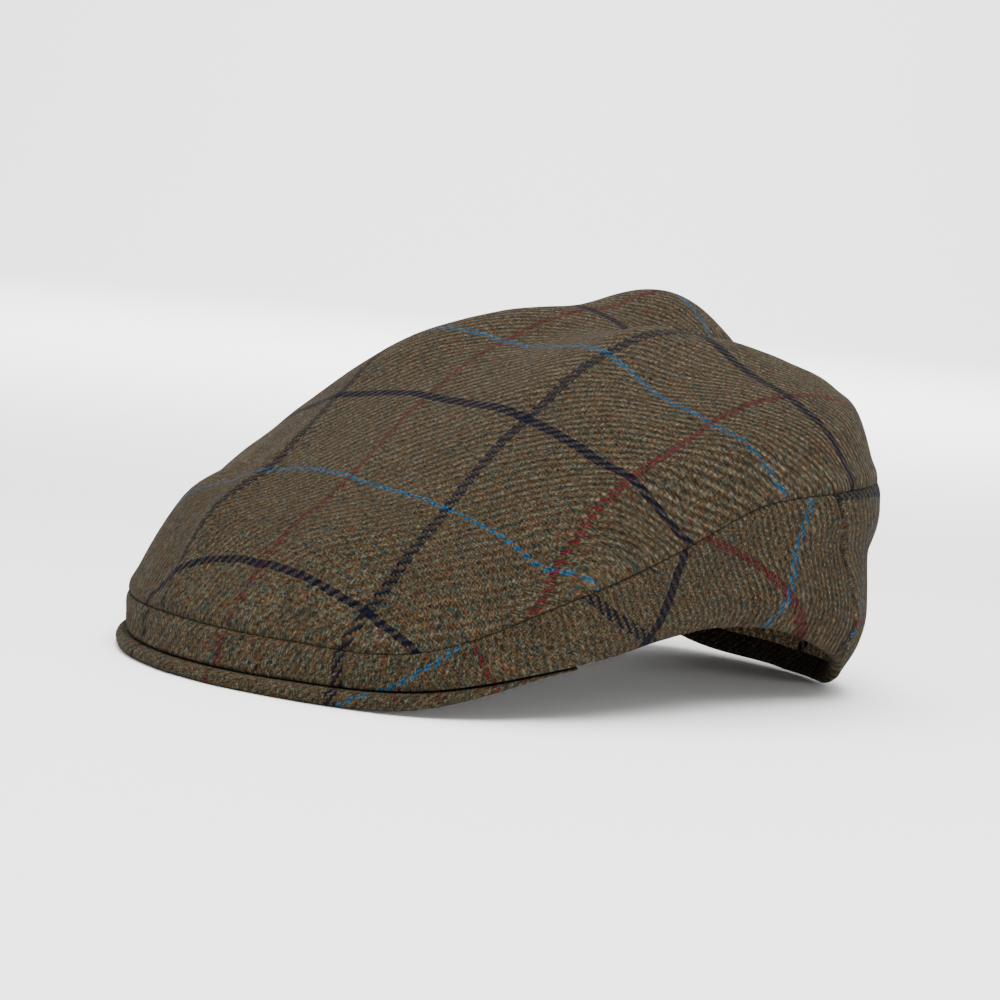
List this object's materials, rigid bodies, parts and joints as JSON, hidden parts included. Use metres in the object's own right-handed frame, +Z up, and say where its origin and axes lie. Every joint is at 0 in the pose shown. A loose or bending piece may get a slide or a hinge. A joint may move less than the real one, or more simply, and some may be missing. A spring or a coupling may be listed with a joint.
{
  "type": "flat cap",
  "caption": "Soft tweed flat cap with a broad crown panel, a side band, a short stiff peak and a turned-in hem, open below for the head.",
  "frame": {"origin": "middle of the cap's bounding box in plan, at the surface that it rests on", "axes": "+Z up, the peak points to -Y, the wearer's left is +X"},
  "size_m": [0.208, 0.2606, 0.1298],
  "materials": {
    "tweed": "woollen twill",
    "tweed_inside": "woollen twill, turned in"
  },
  "bodies": {
    "root": {"top_panel": "tweed", "band_front": "tweed", "band_back": "tweed", "inner_facing": "tweed_inside", "peak": "tweed"}
  },
  "joints": []
}
